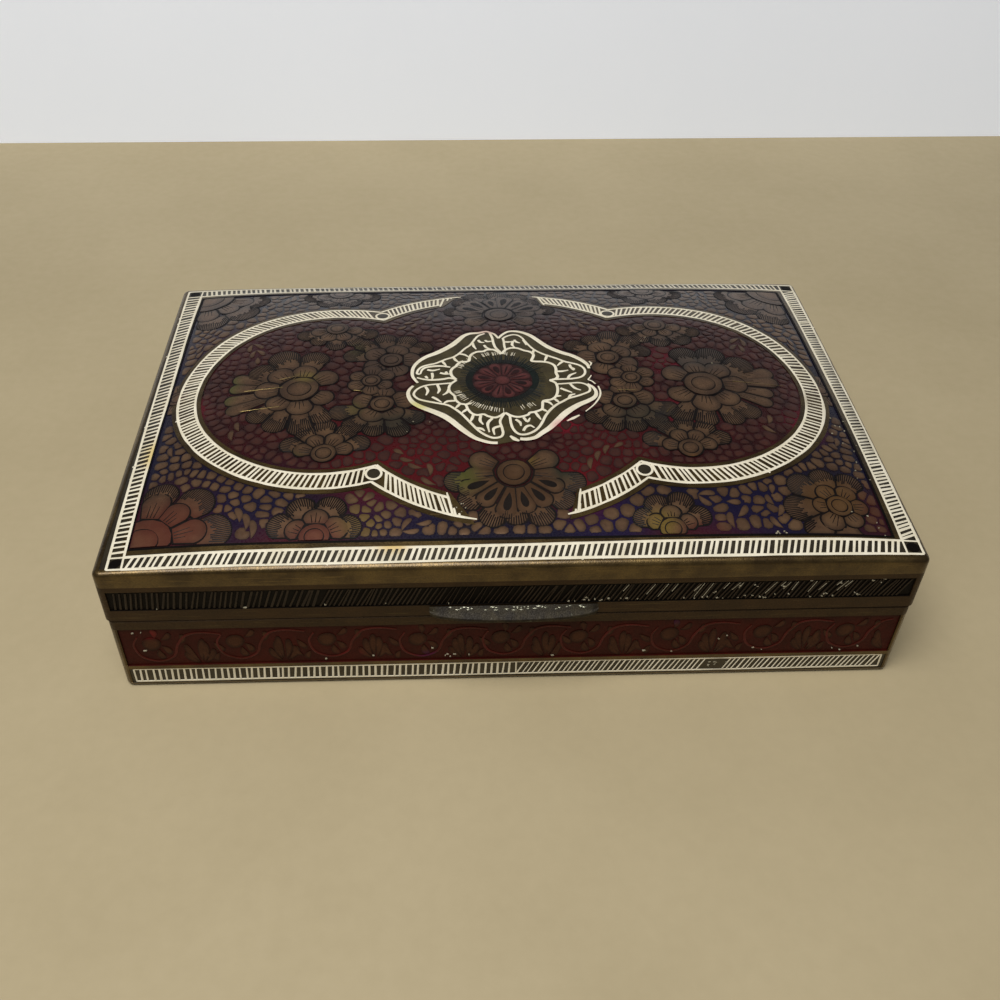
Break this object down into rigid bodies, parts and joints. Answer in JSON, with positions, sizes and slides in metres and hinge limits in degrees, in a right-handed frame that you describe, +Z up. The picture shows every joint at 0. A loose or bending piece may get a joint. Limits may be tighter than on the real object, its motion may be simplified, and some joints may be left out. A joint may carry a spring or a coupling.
{
  "type": "trinket box",
  "caption": "Low rectangular brass trinket box with a crowned lift-off lid, enamelled bands, a lobed cartouche and flower heads, and a thumb lip at the front.",
  "frame": {"origin": "middle of the underside", "axes": "+X to the box's right along its length, +Y from front to back, +Z up; the thumb lip is on the -Y side"},
  "size_m": [0.152, 0.1023, 0.0374],
  "materials": {
    "tray_brass": "aged, dark red enamel vine band and cream ladder band on each side",
    "lid_brass": "aged, engraved and filled with crimson, dark blue, black and cream enamel",
    "lip_brass": "worn tinned brass with grey solder"
  },
  "bodies": {
    "root": {"tray": "tray_brass", "lid": "lid_brass", "thumb_lip": "lip_brass"}
  },
  "joints": []
}
